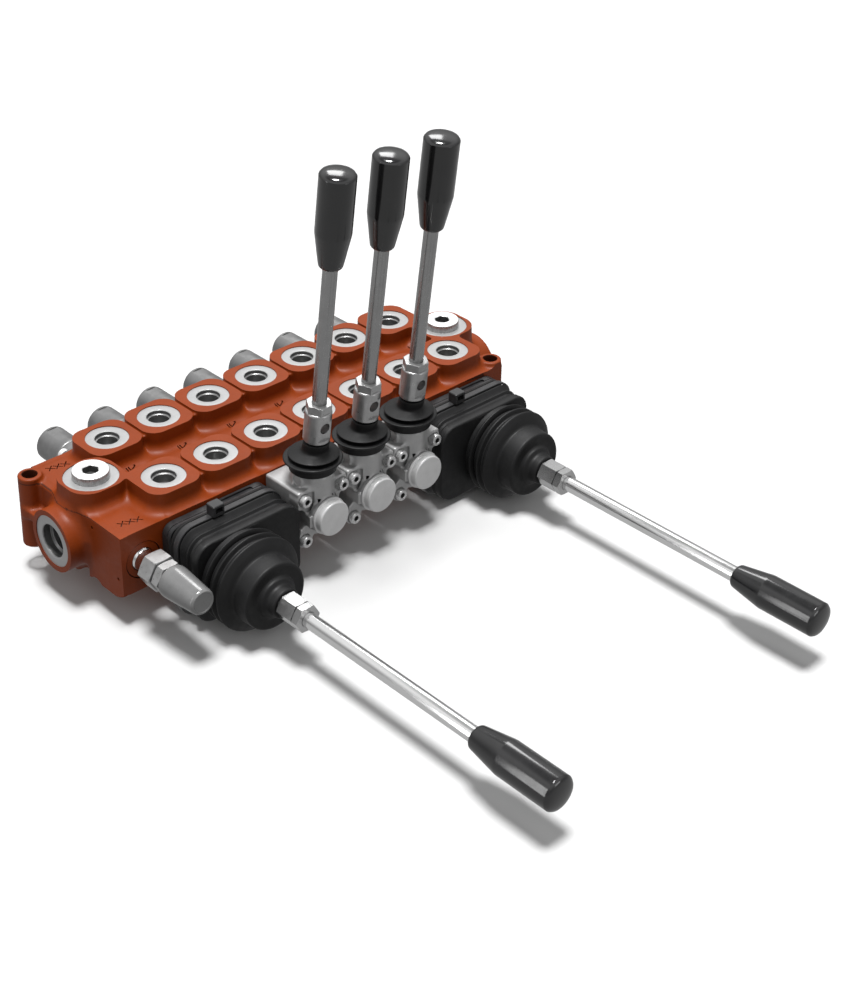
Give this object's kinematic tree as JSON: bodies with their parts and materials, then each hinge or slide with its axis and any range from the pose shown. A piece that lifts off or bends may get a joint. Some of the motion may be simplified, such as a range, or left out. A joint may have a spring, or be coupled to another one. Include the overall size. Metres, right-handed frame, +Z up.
{
  "type": "hydraulic monoblock valve",
  "caption": "Hydraulic monoblock directional valve with sprung hand levers and two-axis joysticks that slide its spools.",
  "frame": {"origin": "on the flat underside of the casting, below the middle section, midway between the two rows of ports", "axes": "+X along the row of sections, -Y towards the levers and joysticks, +Z up out of the work ports"},
  "size_m": [0.372, 0.473, 0.2904],
  "materials": {
    "paint": "satin cast paint",
    "machined_plug": "machined",
    "zinc_plated": "zinc plated",
    "die_cast": "as cast",
    "rubber": "matt",
    "black_plate": "satin",
    "black_nylon": "satin",
    "knob_plastic": "gloss",
    "chrome": "bright",
    "steel": "drawn"
  },
  "bodies": {
    "valve": {"valve_body": "paint", "top_plug_left": "machined_plug", "top_plug_right": "machined_plug", "relief_cartridge": "zinc_plated", "relief_locknut": "zinc_plated", "relief_cap": "zinc_plated", "spring_cap_1": "zinc_plated", "spring_cap_2": "zinc_plated", "spring_cap_3": "zinc_plated", "spring_cap_4": "zinc_plated", "spring_cap_5": "zinc_plated", "spring_cap_6": "zinc_plated", "spring_cap_7": "zinc_plated", "lever_box_3": "die_cast", "lever_front_cap_3": "die_cast", "lever_boot_3": "rubber", "lever_box_4": "die_cast", "lever_front_cap_4": "die_cast", "lever_boot_4": "rubber", "lever_box_5": "die_cast", "lever_front_cap_5": "die_cast", "lever_boot_5": "rubber", "joystick_plate_left": "black_plate", "bellows_base_left": "rubber", "cable_tie_left": "black_nylon", "joystick_plate_right": "black_plate", "bellows_base_right": "rubber", "cable_tie_right": "black_nylon"},
    "spool_1": {"spool_1": "steel"},
    "spool_2": {"spool_2": "steel"},
    "spool_3": {"spool_3": "steel"},
    "spool_4": {"spool_4": "steel"},
    "spool_5": {"spool_5": "steel"},
    "spool_6": {"spool_6": "steel"},
    "spool_7": {"spool_7": "steel"},
    "lever_3": {"lever_stem_3": "steel", "lever_holder_3": "zinc_plated", "lever_rod_3": "steel", "lever_knob_3": "knob_plastic"},
    "lever_4": {"lever_stem_4": "steel", "lever_holder_4": "zinc_plated", "lever_rod_4": "steel", "lever_knob_4": "knob_plastic"},
    "lever_5": {"lever_stem_5": "steel", "lever_holder_5": "zinc_plated", "lever_rod_5": "steel", "lever_knob_5": "knob_plastic"},
    "gimbal_left": {"gimbal_ring_left": "steel"},
    "joystick_left": {"joystick_stem_left": "chrome", "joystick_nut_left": "chrome", "joystick_rod_left": "chrome", "joystick_knob_left": "knob_plastic", "bellows_nose_left": "rubber"},
    "gimbal_right": {"gimbal_ring_right": "steel"},
    "joystick_right": {"joystick_stem_right": "chrome", "joystick_nut_right": "chrome", "joystick_rod_right": "chrome", "joystick_knob_right": "knob_plastic", "bellows_nose_right": "rubber"}
  },
  "joints": [
    {"name": "lever_3_tilt", "type": "hinge", "parent": "valve", "child": "lever_3", "pos_m": [-0.042, -0.0792, 0.0477], "axis": [1, 0, 0], "range_deg": [-14, 14], "stiffness_Nm_per_rad": 8, "deforming": ["lever_boot_3"]},
    {"name": "spool_3_slide", "type": "slide", "parent": "valve", "child": "spool_3", "axis": [0, 1, 0], "range_m": [-0.0056, 0.0056]},
    {"name": "lever_4_tilt", "type": "hinge", "parent": "valve", "child": "lever_4", "pos_m": [0, -0.0792, 0.0477], "axis": [1, 0, 0], "range_deg": [-14, 14], "stiffness_Nm_per_rad": 8, "deforming": ["lever_boot_4"]},
    {"name": "spool_4_slide", "type": "slide", "parent": "valve", "child": "spool_4", "axis": [0, 1, 0], "range_m": [-0.0056, 0.0056]},
    {"name": "lever_5_tilt", "type": "hinge", "parent": "valve", "child": "lever_5", "pos_m": [0.042, -0.0792, 0.0477], "axis": [1, 0, 0], "range_deg": [-14, 14], "stiffness_Nm_per_rad": 8, "deforming": ["lever_boot_5"]},
    {"name": "spool_5_slide", "type": "slide", "parent": "valve", "child": "spool_5", "axis": [0, 1, 0], "range_m": [-0.0056, 0.0056]},
    {"name": "joystick_left_tilt", "type": "hinge", "parent": "valve", "child": "gimbal_left", "pos_m": [-0.1155, -0.086, 0.015], "axis": [1, 0, 0], "range_deg": [-12, 12], "stiffness_Nm_per_rad": 12, "deforming": ["bellows_nose_left"]},
    {"name": "joystick_left_swing", "type": "hinge", "parent": "gimbal_left", "child": "joystick_left", "pos_m": [-0.1155, -0.086, 0.015], "axis": [0, 0, 1], "range_deg": [-12, 12], "stiffness_Nm_per_rad": 12, "deforming": ["bellows_nose_left"]},
    {"name": "spool_1_slide", "type": "slide", "parent": "valve", "child": "spool_1", "axis": [0, 1, 0], "range_m": [-0.0056, 0.0056]},
    {"name": "spool_2_slide", "type": "slide", "parent": "valve", "child": "spool_2", "axis": [0, 1, 0], "range_m": [-0.0056, 0.0056]},
    {"name": "joystick_right_tilt", "type": "hinge", "parent": "valve", "child": "gimbal_right", "pos_m": [0.1155, -0.086, 0.015], "axis": [1, 0, 0], "range_deg": [-12, 12], "stiffness_Nm_per_rad": 12, "deforming": ["bellows_nose_right"]},
    {"name": "joystick_right_swing", "type": "hinge", "parent": "gimbal_right", "child": "joystick_right", "pos_m": [0.1155, -0.086, 0.015], "axis": [0, 0, 1], "range_deg": [-12, 12], "stiffness_Nm_per_rad": 12, "deforming": ["bellows_nose_right"]},
    {"name": "spool_7_slide", "type": "slide", "parent": "valve", "child": "spool_7", "axis": [0, 1, 0], "range_m": [-0.0056, 0.0056]},
    {"name": "spool_6_slide", "type": "slide", "parent": "valve", "child": "spool_6", "axis": [0, 1, 0], "range_m": [-0.0056, 0.0056]}
  ],
  "couplings": [
    {"joint": "spool_3_slide", "follows": "lever_3_tilt", "m_per_rad": 0.022},
    {"joint": "spool_4_slide", "follows": "lever_4_tilt", "m_per_rad": 0.022},
    {"joint": "spool_5_slide", "follows": "lever_5_tilt", "m_per_rad": 0.022},
    {"joint": "spool_1_slide", "follows": "joystick_left_tilt", "m_per_rad": 0.025},
    {"joint": "spool_2_slide", "follows": "joystick_left_swing", "m_per_rad": 0.025},
    {"joint": "spool_7_slide", "follows": "joystick_right_tilt", "m_per_rad": 0.025},
    {"joint": "spool_6_slide", "follows": "joystick_right_swing", "m_per_rad": 0.025}
  ]
}
